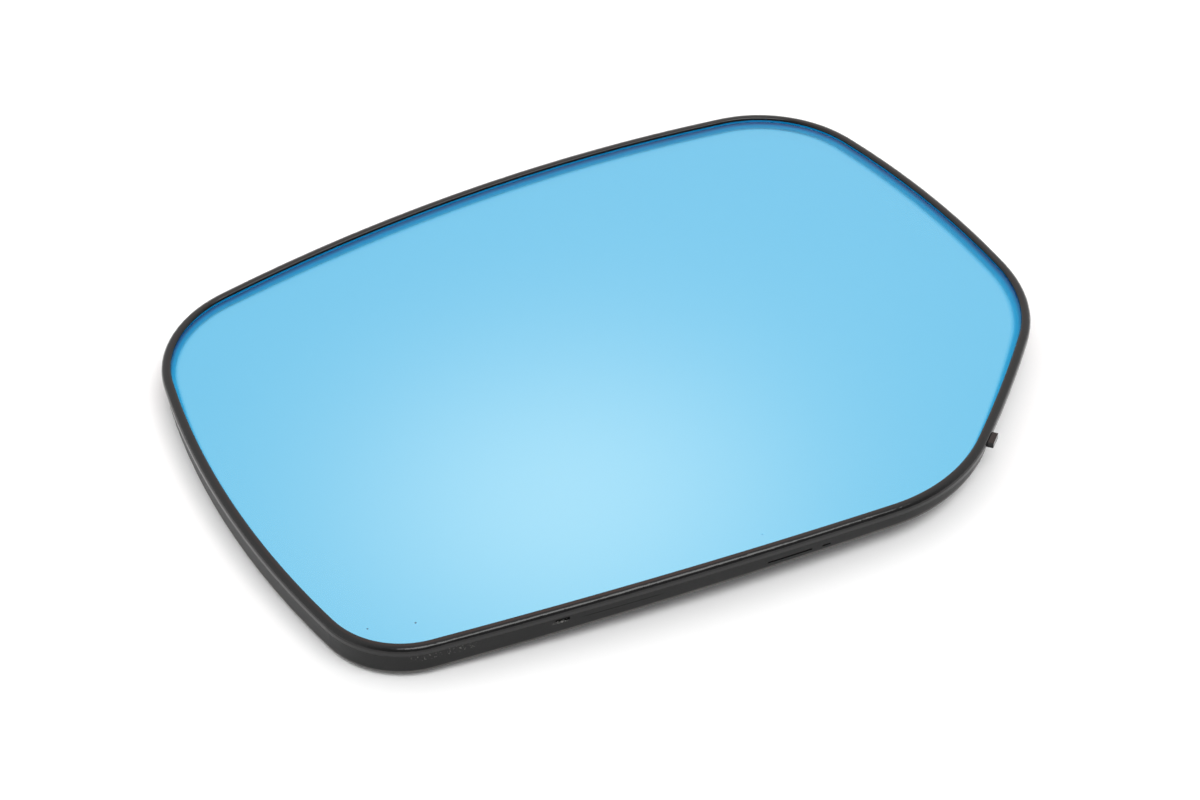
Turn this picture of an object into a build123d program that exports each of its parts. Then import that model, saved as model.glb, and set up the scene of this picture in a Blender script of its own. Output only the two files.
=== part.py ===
from build123d import *

import os
from math import degrees, hypot, radians, sqrt, tan

# Car door mirror glass: a bent, blue-coated mirror bonded into a moulded holder that snaps onto its drive.
# Millimetres. The origin is on the snap ring's axis, at its end. +X runs along the glass, +Z out of it.

# Outline of the holder's bead seen from the front, anticlockwise from the lower left corner.
# Each row is a corner's x and y, its radius, and the outward bow of the edge that follows it.
CORNERS = [
    (-78.7, -55.8, 20.0, 3.0),
    (45.9, -64.2, 40.0, 1.4),
    (89.6, -20.3, 32.0, 4.3),
    (73.6, 62.5, 26.0, 6.0),
    (-83.9, 52.3, 25.0, 7.8),
]
LOWER_EDGE = CORNERS[0:2]
SLANTED_EDGE = CORNERS[1:3]

# Bent glass and the stack behind it. Depths are measured inwards from the glass's front.
BEND_RADIUS = 1000.0
CROWN_HEIGHT = 12.0
GLASS_THICKNESS = 2.0
GLASS_EDGE_CHAMFER = 0.4
PAD_THICKNESS = 0.5
PAD_MARGIN = 3.0
WEB_THICKNESS = 1.2

# Rim of the holder
BEAD_WIDTH = 2.0
BEAD_PROUD = 0.7
BEAD_DEPTH = 1.1
BEAD_SHOULDER_RADIUS = 1.1
LIP_OVERLAP = 0.5
LIP_CLEARANCE = 0.05
LIP_RADIUS = 0.5
GLASS_SIDE_CLEARANCE = 0.1
GROOVE_DEPTH = 0.4
SKIRT_HEIGHT = 1.3
SKIRT_TILT = 1.15
SKIRT_WALL = 1.6
SKIRT_DRAFT = 2.0

# Snap ring that grips the drive's round collar
COLLAR_RADIUS = 30.0
RING_WALL = 1.8
FINGER_COUNT = 6
FINGER_SPAN = 24.0
FINGER_SLOT = 1.5
FINGER_SHORTER = 0.4
NOSE_REACH = 1.2
NOSE_LEAD_IN = 1.2
NOSE_LAND = 1.6
WINDOW_CLEARANCE = 0.4
WINDOW_LAND = 0.2

# Stiffening ribs on the back
RIB_THICKNESS = 1.2
RIB_HEIGHT = 1.2
RIB_CIRCLE_RADIUS = 48.0
GUSSET_LENGTH = 9.0
GUSSET_START = 1.2

# Marks of the mould on the skirt. A station is measured along an edge's chord from its first corner.
GATE_SCAR_STATION = 38.6
GATE_SCAR_LENGTH = 3.0
GATE_SCAR_HEIGHT = 0.8
GATE_SCAR_TOP = 2.1
SLIT_STATION = 86.5
SLIT_LENGTH = 9.6
SHORT_SLIT_STATION = 94.5
SHORT_SLIT_LENGTH = 1.8
SLIT_HEIGHT = 0.4
SLIT_TOP = 3.3
MARK_DEPTH = 0.5
LUG_STATION = 17.3
LUG_LENGTH = 3.2
LUG_HEIGHT = 1.4
LUG_TOP = 0.4
LUG_PROUD = 1.2

# Sizes that follow from the ones above, and the reach of the cutting tools
POCKET_DEPTH = GLASS_THICKNESS + PAD_THICKNESS
WEB_DEPTH = POCKET_DEPTH + WEB_THICKNESS
SKIRT_DEPTH = WEB_DEPTH + SKIRT_HEIGHT
GLASS_INSET = BEAD_WIDTH - LIP_OVERLAP
POCKET_INSET = GLASS_INSET - GLASS_SIDE_CLEARANCE
SKIRT_INSET = GROOVE_DEPTH + SKIRT_WALL
RING_INNER = COLLAR_RADIUS + NOSE_REACH
RING_OUTER = RING_INNER + RING_WALL
FINGER_ANGLES = [i * 360.0 / FINGER_COUNT for i in range(FINGER_COUNT)]
LAND_ANGLES = [angle + 180.0 / FINGER_COUNT for angle in FINGER_ANGLES]
OVERLAP = 0.5
CUT_REACH = 20.0
FAR = 200.0


def edge_circle(start, end, bow):
    """Centre and radius of the shallow arc that bows outwards between two corners."""
    chord = end - start
    radius = (chord.length**2 / 4 + bow**2) / (2 * bow)
    outward = Vector(chord.Y, -chord.X).normalized()
    return (start + end) / 2 - outward * (radius - bow), radius


def corner_centre(corner, radius, before, after):
    """Centre of the round that touches both edges' circles from inside, near their corner."""
    (centre_a, edge_a), (centre_b, edge_b) = before, after
    line = centre_b - centre_a
    reach_a, reach_b = edge_a - radius, edge_b - radius
    along = (line.length**2 + reach_a**2 - reach_b**2) / (2 * line.length)
    across = sqrt(reach_a**2 - along**2)
    foot = centre_a + line.normalized() * along
    side = Vector(-line.Y, line.X).normalized() * across
    return min(foot + side, foot - side, key=lambda point: (point - corner).length)


def arc_about(centre, radius, first, last):
    """Arc of a circle between two directions from its centre."""
    ways = [first, (first + last).normalized(), last]
    return ThreePointArc(*[centre + way * radius for way in ways])


def outline(inset):
    """The bead's outline, moved inwards by inset, as a flat face of tangent arcs."""
    corners = [Vector(x, y) for x, y, radius, bow in CORNERS]
    after = list(range(1, len(CORNERS))) + [0]
    edges = [edge_circle(corners[i], corners[after[i]], CORNERS[i][3]) for i in range(len(CORNERS))]
    rounds = [corner_centre(corners[i], CORNERS[i][2], edges[i - 1], edges[i]) for i in range(len(CORNERS))]
    arcs = []
    for i, (centre, radius) in enumerate(edges):
        arrive = (rounds[i] - edges[i - 1][0]).normalized()
        leave = (rounds[i] - centre).normalized()
        reach = (rounds[after[i]] - centre).normalized()
        arcs.append(arc_about(rounds[i], CORNERS[i][2] - inset, arrive, leave))
        arcs.append(arc_about(centre, radius - inset, leave, reach))
    return make_face(arcs)


def prism(inset):
    """An upright block with the outline's shape, far taller than the part."""
    return extrude(Pos(0, 0, -FAR / 2) * outline(inset), FAR)


def ball(depth):
    """Everything behind the bent surface that lies depth behind the glass's front."""
    return Pos(0, 0, CROWN_HEIGHT - BEND_RADIUS) * Rot(90, 0, 0) * Sphere(BEND_RADIUS - depth)


def layer(inset, front, back):
    """A bent sheet with the outline's shape, between two depths."""
    return (prism(inset) & ball(front)) - ball(back)


def below_skirt():
    """Everything behind the skirt's end, which lies deeper towards the end without the slanted corner."""
    return Rot(0, -SKIRT_TILT, 0) * ball(SKIRT_DEPTH)


def front_face(solid):
    return solid.faces().filter_by(GeomType.SPHERE).sort_by(Axis.Z)[-1]


def height_at(x, y, depth):
    """Height above the ring's end of the bent surface at one depth."""
    return CROWN_HEIGHT - BEND_RADIUS + sqrt((BEND_RADIUS - depth) ** 2 - x**2 - y**2)


def tube_piece(inner, outer, low, high, middle, span):
    """A piece of a tube about the ring's axis, centred on an angle."""
    section = Plane.XZ * Pos((inner + outer) / 2, (low + high) / 2) * Rectangle(outer - inner, high - low)
    return Rot(0, 0, middle - span / 2) * revolve(section, Axis.Z, span)


def bar_across(edge, station, length, top, height):
    """A bar that crosses the rim at a right angle to an edge's chord, its top at a depth."""
    (x0, y0, _, _), (x1, y1, _, _) = edge
    chord = hypot(x1 - x0, y1 - y0)
    along = ((x1 - x0) / chord, (y1 - y0) / chord, 0)
    x = x0 + along[0] * station
    y = y0 + along[1] * station
    middle = (x, y, height_at(x, y, top) - height / 2)
    return Plane(middle, x_dir=along, z_dir=(0, 0, 1)) * Box(length, CUT_REACH, height)


def make_glass():
    """Bent sheet of glass with a seamed front edge."""
    sheet = layer(GLASS_INSET, 0, GLASS_THICKNESS)
    return chamfer(front_face(sheet).edges(), GLASS_EDGE_CHAMFER)


def make_pad():
    """Sheet of bonding foam between the glass and the holder."""
    return layer(PAD_MARGIN, GLASS_THICKNESS, POCKET_DEPTH)


def make_tray():
    """Holder's web, bead and skirt, open at the front for the glass and at the back."""
    bead = layer(0, -BEAD_PROUD, BEAD_DEPTH)
    bead = fillet(front_face(bead).edges(), BEAD_SHOULDER_RADIUS)
    narrowing = CROWN_HEIGHT * tan(radians(SKIRT_DRAFT))
    top = Pos(0, 0, CROWN_HEIGHT) * outline(GROOVE_DEPTH)
    block = loft([outline(GROOVE_DEPTH + narrowing), top], ruled=True)
    tray = bead + ((block & ball(0)) - below_skirt())
    tray -= layer(POCKET_INSET, -LIP_CLEARANCE, POCKET_DEPTH)
    tray -= prism(BEAD_WIDTH) - ball(0)
    tray -= prism(SKIRT_INSET) & ball(WEB_DEPTH)
    return fillet(front_face(tray).inner_wires()[0].edges(), LIP_RADIUS)


def make_ring():
    """Snap ring: fixed lands that stand on the ring's end, and sprung fingers with hooked noses."""
    tube = Cylinder(RING_OUTER, CROWN_HEIGHT, align=(Align.CENTER, Align.CENTER, Align.MIN))
    tube -= Cylinder(RING_INNER, CROWN_HEIGHT, align=(Align.CENTER, Align.CENTER, Align.MIN))
    ring = tube & ball(WEB_DEPTH - OVERLAP)
    nose_low = FINGER_SHORTER + NOSE_LEAD_IN
    nose_high = nose_low + NOSE_LAND
    nose = Plane.XZ * make_face(
        Polyline(
            (RING_INNER + OVERLAP, FINGER_SHORTER),
            (RING_INNER, FINGER_SHORTER),
            (COLLAR_RADIUS, nose_low),
            (COLLAR_RADIUS, nose_high),
            (RING_INNER, nose_high + NOSE_REACH),
            (RING_INNER + OVERLAP, nose_high + NOSE_REACH),
            close=True,
        )
    )
    slot = Pos(RING_INNER, 0, 0) * Box(CUT_REACH, FINGER_SLOT, FAR) - ball(WEB_DEPTH)
    slot_angle = FINGER_SPAN / 2 + degrees(FINGER_SLOT / 2 / RING_INNER)
    for angle in FINGER_ANGLES:
        ring -= Rot(0, 0, angle - slot_angle) * slot
        ring -= Rot(0, 0, angle + slot_angle) * slot
        ring -= tube_piece(COLLAR_RADIUS, RING_OUTER + OVERLAP, -OVERLAP, FINGER_SHORTER, angle, FINGER_SPAN)
        ring += Rot(0, 0, angle - FINGER_SPAN / 2) * revolve(nose, Axis.Z, FINGER_SPAN)
    return ring


def make_windows():
    """Openings in the web that let the mould form the back of each nose."""
    inner = COLLAR_RADIUS - WINDOW_CLEARANCE
    outer = RING_INNER - WINDOW_LAND
    low = height_at(RING_OUTER, 0, WEB_DEPTH) - OVERLAP
    return [tube_piece(inner, outer, low, CROWN_HEIGHT, angle, FINGER_SPAN) for angle in FINGER_ANGLES]


def make_ribs():
    """Radial ribs and one round rib on the back of the web, and a gusset at each fixed land."""
    zone = layer(SKIRT_INSET - OVERLAP, WEB_DEPTH - OVERLAP, WEB_DEPTH + RIB_HEIGHT) - below_skirt()
    strip = Box(FAR, RIB_THICKNESS, FAR, align=(Align.MIN, Align.CENTER, Align.CENTER))
    plan = [Rot(0, 0, a) * Pos(RING_INNER + OVERLAP, 0, 0) * strip for a in LAND_ANGLES]
    plan += [Rot(0, 0, a) * Pos(RIB_CIRCLE_RADIUS, 0, 0) * strip for a in FINGER_ANGLES]
    plan.append(Cylinder(RIB_CIRCLE_RADIUS + RIB_THICKNESS, FAR) - Cylinder(RIB_CIRCLE_RADIUS, FAR))
    ribs = [piece & zone for piece in plan]
    root = height_at(RING_OUTER, 0, WEB_DEPTH - OVERLAP)
    gusset = extrude(
        Plane.XZ
        * make_face(
            Polyline(
                (RING_OUTER - OVERLAP, GUSSET_START),
                (RING_OUTER, GUSSET_START),
                (RING_OUTER + GUSSET_LENGTH, height_at(RING_OUTER + GUSSET_LENGTH, 0, WEB_DEPTH)),
                (RING_OUTER - OVERLAP, root),
                close=True,
            )
        ),
        RIB_THICKNESS / 2,
        both=True,
    )
    return ribs + [Rot(0, 0, a) * gusset for a in LAND_ANGLES]


def make_marks():
    """Gate scar and two slits, cut into the skirt's face."""
    marks = [
        bar_across(LOWER_EDGE, GATE_SCAR_STATION, GATE_SCAR_LENGTH, GATE_SCAR_TOP, GATE_SCAR_HEIGHT),
        bar_across(LOWER_EDGE, SLIT_STATION, SLIT_LENGTH, SLIT_TOP, SLIT_HEIGHT),
        bar_across(LOWER_EDGE, SHORT_SLIT_STATION, SHORT_SLIT_LENGTH, SLIT_TOP, SLIT_HEIGHT),
    ]
    core = prism(GROOVE_DEPTH + MARK_DEPTH)
    return [mark - core for mark in marks]


def make_lug():
    """Small square lug that stands out of the slanted edge."""
    bar = bar_across(SLANTED_EDGE, LUG_STATION, LUG_LENGTH, LUG_TOP, LUG_HEIGHT)
    return (bar & prism(-LUG_PROUD)) - prism(GROOVE_DEPTH + OVERLAP)


def make_plate():
    """The whole moulded holder."""
    plate = make_tray()
    for hollow in make_windows() + make_marks():
        plate -= hollow
    for piece in [make_ring(), make_lug()] + make_ribs():
        plate += piece
    return plate


os.makedirs("parts", exist_ok=True)
export_step(make_glass(), "parts/mirror_glass.step")
export_step(make_pad(), "parts/adhesive_pad.step")
export_step(make_plate(), "parts/backing_plate.step")
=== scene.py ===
import math

import bmesh
import bpy
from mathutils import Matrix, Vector
from mathutils.kdtree import KDTree


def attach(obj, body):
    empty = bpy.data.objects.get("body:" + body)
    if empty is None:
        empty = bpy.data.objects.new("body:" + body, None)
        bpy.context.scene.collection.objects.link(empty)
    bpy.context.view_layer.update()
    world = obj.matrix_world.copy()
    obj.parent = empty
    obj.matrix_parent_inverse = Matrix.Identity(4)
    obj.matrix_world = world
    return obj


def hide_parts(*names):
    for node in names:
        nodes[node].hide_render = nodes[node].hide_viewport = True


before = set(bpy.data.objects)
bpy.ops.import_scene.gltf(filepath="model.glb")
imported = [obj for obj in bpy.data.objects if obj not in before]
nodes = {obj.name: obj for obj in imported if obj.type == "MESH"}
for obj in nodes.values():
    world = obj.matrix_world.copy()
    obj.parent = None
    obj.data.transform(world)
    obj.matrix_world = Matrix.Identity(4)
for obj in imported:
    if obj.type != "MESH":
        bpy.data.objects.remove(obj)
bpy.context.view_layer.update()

# Lengths in metres, in the part's frame: +X along the glass, +Y towards its bowed edge, +Z out of it
MM = 0.001
BEND_RADIUS = 1.0
CROWN_HEIGHT = 12 * MM
BEND_CENTRE = Vector((0, 0, CROWN_HEIGHT - BEND_RADIUS))
GLASS_THICKNESS = 2 * MM
COATING_CLEARANCE = 0.02 * MM
ON_SURFACE = 0.05 * MM
WELD = 0.001 * MM

# Material slots of the glass, in the order in which they are filled
FRONT_SLOT, COATED_SLOT, EDGE_SLOT = range(3)

# The bead's gloss turns into the skirt's satin finish between these depths behind the glass's front.
FINISH_DEPTHS = (0.9 * MM, 1.4 * MM)

# The skirt ends on the glass's bend, tilted about Y and set back.
SKIRT_DEPTH = 5 * MM
SKIRT_TILT = math.radians(1.15)
SKIRT_CENTRE = -BEND_CENTRE.z * Vector((math.sin(SKIRT_TILT), 0, -math.cos(SKIRT_TILT)))

# Facets of the glass: long in the middle, short in a strip along the edge that holds the coating's border
LONGEST_FACET = 4 * MM
BORDER_FACET = 0.7 * MM
BORDER_STRIP = 4.5 * MM
BORDER_STEP = 0.25 * MM
SPLIT_PASSES = 7

# Painted reflection of the dark rim: a deeper blue band along the coating's border, which widens in one
# direction, between two places in that direction
PAINTED_REFLECTION_DIRECTION = (0.43, 0.9, 0.0)
PAINTED_REFLECTION_PLACES = (-30 * MM, 40 * MM)
PAINTED_REFLECTION_WIDTHS = (1.4 * MM, 3.8 * MM)
PAINTED_REFLECTION_START = 0.3 * MM
DEEPEST_SHARE = 0.45

# Dark specks in the coating: place along and across the glass, and radius
SPECKS = [
    (-66.4 * MM, -49.4 * MM, 0.3 * MM),
    (-75.2 * MM, -46.5 * MM, 0.26 * MM),
]

# The edge of the glass has a painted glow, pale down to the first depth and deep blue from the second.
EDGE_DEPTHS = (0.1 * MM, 0.9 * MM)

# Marks on the near skirt: middle and half length along X, middle and half height in depth.
# They fade out between the two places along Y.
NEAR_SIDE = (-40 * MM, -30 * MM)
SCUFFS = (-64 * MM, 8 * MM, 2.3 * MM, 1.4 * MM)
TORN_FLECKS = (-40.8 * MM, 1.8 * MM, 2.95 * MM, 0.3 * MM)
PARTING_LINE = (-28 * MM, 10 * MM, 3.15 * MM, 0.12 * MM)

# The paler line along the skirt's lower edge, as heights above the skirt's end: where it starts and where it
# fades
PALE_EDGE_START = (-0.3 * MM, -0.1 * MM)
PALE_EDGE_FADE = (0.25 * MM, 0.6 * MM)

# Colours
GLASS_CLEAR = (0.93, 0.975, 0.99, 1.0)
GLASS_TINT = (0.25, 0.75, 1.0, 1.0)
COATING_BLUES = [(0.178, 0.577, 0.85, 1.0), (0.186, 0.587, 0.855, 1.0)]
COATING_TINT = (0.2, 0.6, 0.86, 1.0)
# Painted reflection of the dark rim along the coating's border, deepest at the edge
PAINTED_RIM_REFLECTION_BLUES = [(0.0, 0.16, 0.38, 1.0), (0.0, 0.42, 0.78, 1.0)]
SPECK_COLOUR = (0.05, 0.12, 0.2, 1.0)
EDGE_COLOUR = (0.0, 0.12, 0.25, 1.0)
# Painted glow of the glass's edge: deep blue, and pale at the front
EDGE_PAINTED_GLOWS = [(0.0, 0.13, 0.3, 1.0), (0.0, 0.16, 0.36, 1.0)]
EDGE_PAINTED_PALE_GLOW = (0.8, 0.8, 0.8, 1.0)
PALE_MARK_COLOUR = (0.13, 0.125, 0.12, 1.0)
TORN_COLOUR = (0.25, 0.245, 0.235, 1.0)

# Scales of the streaks' noise along X, along Y and in depth
STREAK_SCALES = (60.0, 60.0, 2600.0)

# Camera, as the photograph was taken
CAMERA_PLACE = Vector((-0.2222, -0.4619, 0.4758))
CAMERA_TURN = math.radians(25.3)
CAMERA_PITCH = math.radians(43.0)
LENS = 100.0
SENSOR = 36.0

# Surroundings: an even white tent, two high softboxes, warm lamps behind and a dark side at the camera
TENT = 1.0
SOFTBOX = 5.3
SOFTBOX_TURNS = [math.radians(150.0), math.radians(194.0)]
SOFTBOX_HEIGHT = math.radians(64.0)
SOFTBOX_EDGE = math.radians(18.0)
SOFTBOX_FULL = math.radians(9.0)
LAMPS = [  # turn, height, focus and colour
    (math.radians(23.0), math.radians(50.0), 90.0, (1.14, 0.31, 0.13)),
    (math.radians(30.0), math.radians(40.0), 50.0, (0.14, 0.05, 0.03)),
]
DARK_SIDE = -0.72
DARK_SIDE_TURN = math.radians(185.0)
DARK_SIDE_HEIGHT = math.radians(25.0)
DARK_SIDE_COSINES = (0.2, 0.85)  # of the angle off its middle, where it starts and where it is darkest
FLOOR_SIZE = 4.0
FLOOR_GLOW = 0.045


class Graph:
    """A material's or the world's node tree, built by short calls."""

    def __init__(self, owner):
        owner.use_nodes = True
        self.tree = owner.node_tree
        self.tree.nodes.clear()

    def add(self, kind, inputs=None, **settings):
        node = self.tree.nodes.new(kind)
        for name, value in settings.items():
            setattr(node, name, value)
        for key, value in (inputs or {}).items():
            self.feed(node, key, value)
        return node

    def feed(self, node, key, value):
        if isinstance(value, bpy.types.NodeSocket):
            self.tree.links.new(value, node.inputs[key])
        else:
            node.inputs[key].default_value = value

    def math(self, operation, *values):
        node = self.add("ShaderNodeMath", dict(enumerate(values)), operation=operation)
        return node.outputs[0]

    def vector(self, operation, *values):
        node = self.add("ShaderNodeVectorMath", dict(enumerate(values)), operation=operation)
        return node.outputs["Value" if operation in ("LENGTH", "DOT_PRODUCT") else "Vector"]

    def step(self, value, low, high, to_low=0.0, to_high=1.0):
        """A smooth step from to_low at low to to_high at high."""
        inputs = {"Value": value, "From Min": low, "From Max": high, "To Min": to_low, "To Max": to_high}
        node = self.add("ShaderNodeMapRange", inputs, interpolation_type="SMOOTHSTEP")
        return node.outputs["Result"]

    def noise(self, where, scale, detail=4.0):
        inputs = {"Vector": where, "Scale": scale, "Detail": detail}
        return self.add("ShaderNodeTexNoise", inputs).outputs["Fac"]

    def mix_colour(self, share, first, second):
        """Inputs 6 and 7 of the node take the colours, and its output 2 gives the mix."""
        node = self.add("ShaderNodeMix", data_type="RGBA")
        self.feed(node, "Factor", share)
        self.feed(node, 6, first)
        self.feed(node, 7, second)
        return node.outputs[2]

    def place(self):
        """Position in the part's frame, which turns and moves with it."""
        return self.add("ShaderNodeTexCoord").outputs["Object"]

    def depth(self, where, centre=BEND_CENTRE):
        """Distance behind a bent surface, by default the glass's front."""
        reach = self.vector("LENGTH", self.vector("SUBTRACT", where, tuple(centre)))
        return self.math("SUBTRACT", BEND_RADIUS, reach)

    def split(self, vector):
        return self.add("ShaderNodeSeparateXYZ", {0: vector}).outputs

    def join(self, *values):
        return self.add("ShaderNodeCombineXYZ", dict(enumerate(values))).outputs[0]

    def window(self, value, middle, half):
        """A soft mask that is 1 near the middle value and 0 beyond half to either side."""
        off = self.math("ABSOLUTE", self.math("SUBTRACT", value, middle))
        return self.step(off, 0.6 * half, half, to_low=1.0, to_high=0.0)

    def product(self, *values):
        total = values[0]
        for value in values[1:]:
            total = self.math("MULTIPLY", total, value)
        return total

    def bump(self, height, strength, distance):
        inputs = {"Height": height, "Strength": strength, "Distance": distance}
        return self.add("ShaderNodeBump", inputs).outputs["Normal"]

    def surface(self, **inputs):
        named = {key.replace("_", " "): value for key, value in inputs.items()}
        shader = self.add("ShaderNodeBsdfPrincipled", named)
        self.add("ShaderNodeOutputMaterial", {"Surface": shader.outputs[0]})


def grey(level):
    return (level, level, level, 1.0)


def direction(turn, height):
    """Unit vector turned from +Y towards +X and raised above the horizon."""
    flat = math.cos(height)
    return Vector((flat * math.sin(turn), flat * math.cos(turn), math.sin(height)))


def clear_glass():
    """Polished front of the glass, faintly smeared."""
    material = bpy.data.materials.new("clear_glass")
    graph = Graph(material)
    smears = graph.noise(graph.place(), scale=60.0)
    graph.surface(
        Base_Color=GLASS_CLEAR,
        Roughness=graph.step(smears, 0.3, 0.8, to_low=0.0, to_high=0.015),
        IOR=1.52,
        Transmission_Weight=1.0,
        Specular_Tint=GLASS_TINT,
    )
    return material


def mirror_coating():
    """Blue reflecting coating on the back of the glass, with a few specks.

    Its border is painted deeper blue and duller as the dark rim's reflection, broadest along the bowed edge
    and the +X end.
    """
    material = bpy.data.materials.new("mirror_coating")
    graph = Graph(material)
    where = graph.place()
    cloud = graph.noise(where, scale=14.0, detail=2.0)
    blue = graph.mix_colour(cloud, *COATING_BLUES)
    off_edge = graph.add("ShaderNodeAttribute", attribute_name="edge_distance").outputs["Fac"]
    reach = graph.vector("DOT_PRODUCT", where, PAINTED_REFLECTION_DIRECTION)
    # Width of the painted rim reflection, widest along the bowed edge and the +X end
    border = graph.step(reach, *PAINTED_REFLECTION_PLACES, *PAINTED_REFLECTION_WIDTHS)
    deepest = graph.math("MULTIPLY", border, DEEPEST_SHARE)
    deep = graph.mix_colour(graph.step(off_edge, PAINTED_REFLECTION_START, deepest), *PAINTED_RIM_REFLECTION_BLUES)
    blue_with_painted_reflection = graph.mix_colour(graph.step(off_edge, deepest, border), deep, blue)
    along, across, _ = graph.split(where)
    flat = graph.join(along, across, 0.0)
    speck = 0.0
    for x, y, radius in SPECKS:
        off = graph.vector("LENGTH", graph.vector("SUBTRACT", flat, (x, y, 0.0)))
        spot = graph.step(off, 0.4 * radius, radius, to_low=0.8, to_high=0.0)
        speck = graph.math("MAXIMUM", speck, spot)
    graph.surface(
        Base_Color=graph.mix_colour(speck, blue_with_painted_reflection, SPECK_COLOUR),
        Metallic=1.0,
        Roughness=graph.step(off_edge, deepest, border, to_low=0.4, to_high=0.01),
        Specular_Tint=COATING_TINT,
    )
    return material


def ground_edge():
    """Ground edge of the glass, with a painted glow standing in for the light inside the sheet: deep blue,
    paler at the front.
    """
    material = bpy.data.materials.new("ground_edge")
    graph = Graph(material)
    where = graph.place()
    grind = graph.noise(where, scale=2500.0)
    # Painted glow of the edge, standing in for the light inside the sheet
    deep = graph.mix_colour(grind, *EDGE_PAINTED_GLOWS)
    graph.surface(
        Base_Color=EDGE_COLOUR,
        Roughness=0.6,
        Specular_IOR_Level=0.0,
        Emission_Color=graph.mix_colour(graph.step(graph.depth(where), *EDGE_DEPTHS), EDGE_PAINTED_PALE_GLOW, deep),
        Emission_Strength=1.0,
    )
    return material


def moulded_plastic():
    """Black moulding: a glossy bead, a satin skirt and back, a paler line along the lower edge and a few
    marks.
    """
    material = bpy.data.materials.new("moulded_plastic")
    graph = Graph(material)
    where = graph.place()
    along, across, _ = graph.split(where)
    depth = graph.depth(where)
    near_side = graph.step(across, *NEAR_SIDE, to_low=1.0, to_high=0.0)

    def near_patch(middle, half_length, level, half_height):
        """A mask over one patch of the near skirt."""
        length = graph.window(along, middle, half_length)
        return graph.product(near_side, length, graph.window(depth, level, half_height))

    grain = graph.noise(where, scale=4500.0, detail=3.0)
    cloud = graph.noise(where, scale=90.0)
    drawn = graph.vector("MULTIPLY", graph.join(along, across, depth), STREAK_SCALES)
    streaks = graph.noise(drawn, scale=1.0, detail=3.0)
    above_end = graph.math("SUBTRACT", SKIRT_DEPTH, graph.depth(where, SKIRT_CENTRE))
    facing = graph.split(graph.add("ShaderNodeTexCoord").outputs["Normal"])[2]
    upright = graph.step(graph.math("ABSOLUTE", facing), 0.5, 0.8, to_low=1.0, to_high=0.0)
    # A paler grey line along the skirt's lower edge, on upright faces only
    pale_edge = graph.product(
        upright,
        graph.step(above_end, *PALE_EDGE_START),
        graph.step(above_end, *PALE_EDGE_FADE, to_low=0.8, to_high=0.0),
        graph.step(cloud, 0.2, 0.6, to_low=0.6, to_high=1.0),
    )
    scratches = graph.step(graph.noise(where, scale=2600.0, detail=2.0), 0.6, 0.7)
    flecks = graph.step(graph.noise(where, scale=4200.0, detail=2.0), 0.5, 0.62)
    pale_marks = graph.math("MAXIMUM", pale_edge, graph.product(near_patch(*SCUFFS), scratches))
    torn = graph.product(near_patch(*TORN_FLECKS), flecks)
    black = graph.mix_colour(cloud, grey(0.004), grey(0.008))
    greyed = graph.mix_colour(pale_marks, black, PALE_MARK_COLOUR)
    gloss = graph.step(depth, *FINISH_DEPTHS, to_low=0.4, to_high=0.24)
    parted = graph.step(near_patch(*PARTING_LINE), 0.0, 1.0, to_low=1.0, to_high=0.3)
    rough = graph.step(depth, *FINISH_DEPTHS, to_low=0.08, to_high=0.34)
    fine = graph.math("MULTIPLY", graph.math("ADD", grain, streaks), 0.04)
    graph.surface(
        Base_Color=graph.mix_colour(torn, greyed, TORN_COLOUR),
        Roughness=graph.math("ADD", rough, fine),
        Specular_IOR_Level=graph.product(gloss, parted),
        Normal=graph.bump(grain, strength=0.15, distance=0.05 * MM),
    )
    return material


def bonding_foam():
    """Dark closed-cell foam."""
    material = bpy.data.materials.new("bonding_foam")
    graph = Graph(material)
    where = graph.place()
    cells = graph.add("ShaderNodeTexVoronoi", {"Vector": where, "Scale": 1800.0}).outputs["Distance"]
    graph.surface(
        Base_Color=graph.mix_colour(cells, grey(0.02), grey(0.05)),
        Roughness=0.85,
        Normal=graph.bump(cells, strength=0.5, distance=0.15 * MM),
    )
    return material


def floor_paint():
    """Pale, faintly mottled and slightly glowing, so that it stays white."""
    material = bpy.data.materials.new("floor_paint")
    graph = Graph(material)
    mottle = graph.noise(graph.place(), scale=3.0)
    graph.surface(
        Base_Color=graph.mix_colour(mottle, grey(0.94), grey(0.96)),
        Roughness=0.9,
        Emission_Color=grey(1.0),
        Emission_Strength=FLOOR_GLOW,
    )
    return material


def on_layer(vert, depth):
    """Whether a vertex lies on the bent surface at one depth."""
    return abs(BEND_RADIUS - depth - (vert.co - BEND_CENTRE).length) < ON_SURFACE


def border_points(bm):
    """Points close together along the coating's border, for a search of the nearest."""
    points = []
    for edge in bm.edges:
        coated = [all(on_layer(vert, GLASS_THICKNESS) for vert in face.verts) for face in edge.link_faces]
        if sum(coated) == 1:
            first, last = [vert.co for vert in edge.verts]
            count = 1 + int((last - first).length / BORDER_STEP)
            points += [first.lerp(last, i / count) for i in range(count)]
    tree = KDTree(len(points))
    for i, point in enumerate(points):
        tree.insert(point, i)
    tree.balance()
    return tree


def split_long_facets(bm, border):
    """Halves the long facets a few times, and lays the points of front and back on the true bend."""
    for _ in range(SPLIT_PASSES):
        long_edges = []
        for edge in bm.edges:
            off_edge = min(border.find(vert.co)[2] for vert in edge.verts)
            if edge.calc_length() > (BORDER_FACET if off_edge < BORDER_STRIP else LONGEST_FACET):
                long_edges.append(edge)
        bmesh.ops.subdivide_edges(bm, edges=long_edges, cuts=1)
        bmesh.ops.triangulate(bm, faces=bm.faces)
    for vert in bm.verts:
        outward = (vert.co - BEND_CENTRE).normalized()
        if on_layer(vert, 0.0):
            vert.co = BEND_CENTRE + outward * BEND_RADIUS
        elif on_layer(vert, GLASS_THICKNESS):
            vert.co = BEND_CENTRE + outward * (BEND_RADIUS - GLASS_THICKNESS + COATING_CLEARANCE)


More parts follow.
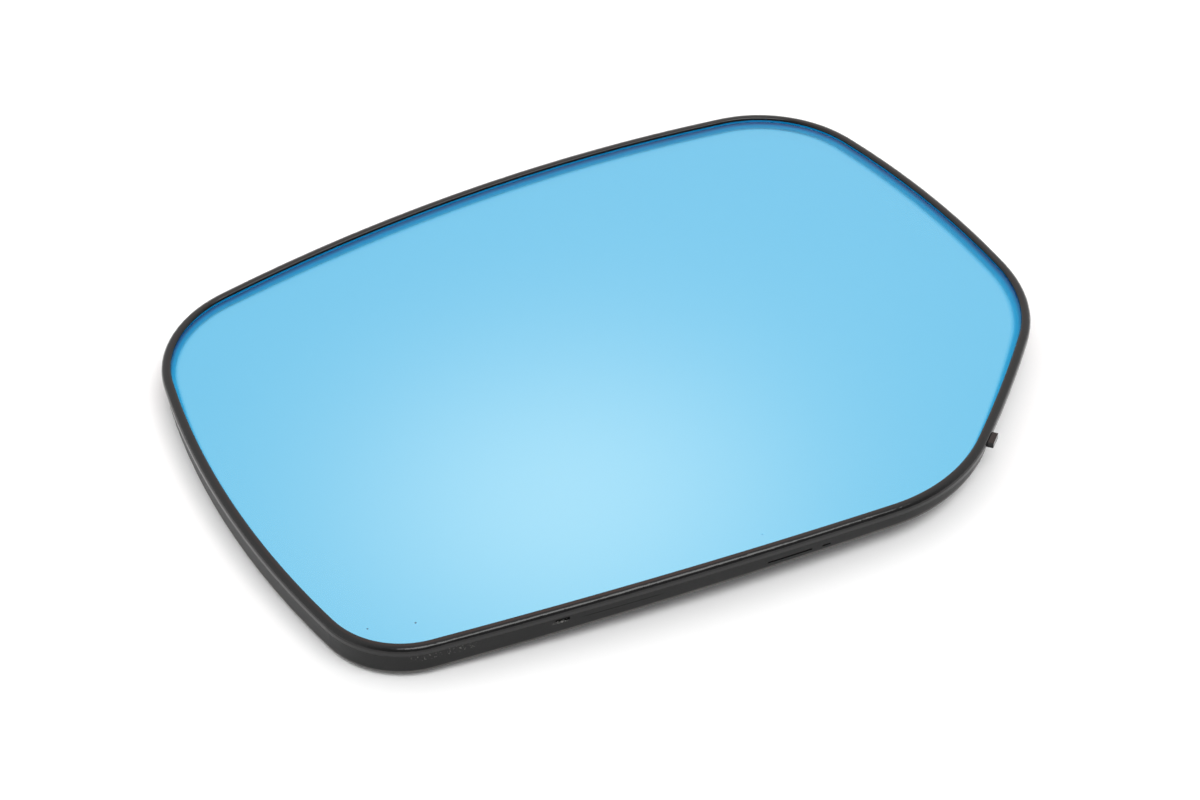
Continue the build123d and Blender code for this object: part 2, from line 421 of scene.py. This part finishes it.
def mirror_sheet():
    """The glass on its true bend: a clear front, a coated back and a ground edge."""
    mesh = nodes["mirror_glass"].data.copy()
    mesh.materials.clear()
    for material in (clear_glass(), mirror_coating(), ground_edge()):
        mesh.materials.append(material)
    bm = bmesh.new()
    bm.from_mesh(mesh)
    bmesh.ops.remove_doubles(bm, verts=bm.verts, dist=WELD)
    border = border_points(bm)
    split_long_facets(bm, border)
    for face in bm.faces:
        face.smooth = True
        face.material_index = EDGE_SLOT
        for slot, depth in ((FRONT_SLOT, 0.0), (COATED_SLOT, GLASS_THICKNESS)):
            if all(on_layer(vert, depth) for vert in face.verts):
                face.material_index = slot
    bm.to_mesh(mesh)
    bm.free()
    normals = []
    for polygon in mesh.polygons:
        for loop in polygon.loop_indices:
            outward = (mesh.vertices[mesh.loops[loop].vertex_index].co - BEND_CENTRE).normalized()
            normals.append((outward, -outward, polygon.normal)[polygon.material_index])
    mesh.normals_split_custom_set(normals)
    off_edge = mesh.attributes.new("edge_distance", "FLOAT", "POINT")
    for vert in mesh.vertices:
        off_edge.data[vert.index].value = border.find(vert.co)[2]
    sheet = bpy.data.objects.new("mirror_glass_sheet", mesh)
    bpy.context.scene.collection.objects.link(sheet)
    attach(sheet, "root")
    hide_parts("mirror_glass")


def dress(name, material):
    """Gives a CAD node its finish."""
    mesh = nodes[name].data
    mesh.materials.clear()
    mesh.materials.append(material)


def make_floor():
    bpy.ops.mesh.primitive_plane_add(size=FLOOR_SIZE)
    floor = bpy.context.object
    floor.name = "floor"
    floor.data.materials.append(floor_paint())


def make_surroundings():
    """The light around the part, as a world that depends only on the ray's direction."""
    world = bpy.data.worlds.new("tent")
    bpy.context.scene.world = world
    graph = Graph(world)
    ray = graph.add("ShaderNodeTexCoord").outputs["Generated"]

    def cosine_off(turn, height):
        return graph.vector("DOT_PRODUCT", ray, tuple(direction(turn, height)))

    softbox = 0.0
    for turn in SOFTBOX_TURNS:
        aim = cosine_off(turn, SOFTBOX_HEIGHT)
        lit = graph.step(aim, math.cos(SOFTBOX_EDGE), math.cos(SOFTBOX_FULL), to_low=0.0, to_high=SOFTBOX)
        softbox = graph.math("MAXIMUM", softbox, lit)
    aim = cosine_off(DARK_SIDE_TURN, DARK_SIDE_HEIGHT)
    dark = graph.step(aim, *DARK_SIDE_COSINES, to_low=0.0, to_high=DARK_SIDE)
    white = graph.math("ADD", graph.math("ADD", softbox, dark), TENT)
    light = graph.join(white, white, white)
    for turn, height, focus, colour in LAMPS:
        aim = graph.math("MAXIMUM", cosine_off(turn, height), 0.0)
        lamp = graph.math("POWER", aim, focus)
        light = graph.vector("ADD", light, graph.vector("MULTIPLY", graph.join(lamp, lamp, lamp), colour))
    background = graph.add("ShaderNodeBackground", {"Color": light, "Strength": 1.0})
    graph.add("ShaderNodeOutputWorld", {"Surface": background.outputs[0]})


def make_camera():
    data = bpy.data.cameras.new("camera")
    data.lens = LENS
    data.sensor_width = SENSOR
    camera = bpy.data.objects.new("camera", data)
    camera.location = CAMERA_PLACE
    camera.rotation_mode = "QUATERNION"
    camera.rotation_quaternion = direction(CAMERA_TURN, -CAMERA_PITCH).to_track_quat("-Z", "Y")
    bpy.context.scene.collection.objects.link(camera)
    bpy.context.scene.camera = camera


mirror_sheet()
dress("backing_plate", moulded_plastic())
dress("adhesive_pad", bonding_foam())
make_floor()
make_surroundings()
make_camera()
bpy.context.scene.view_settings.view_transform = "Standard"
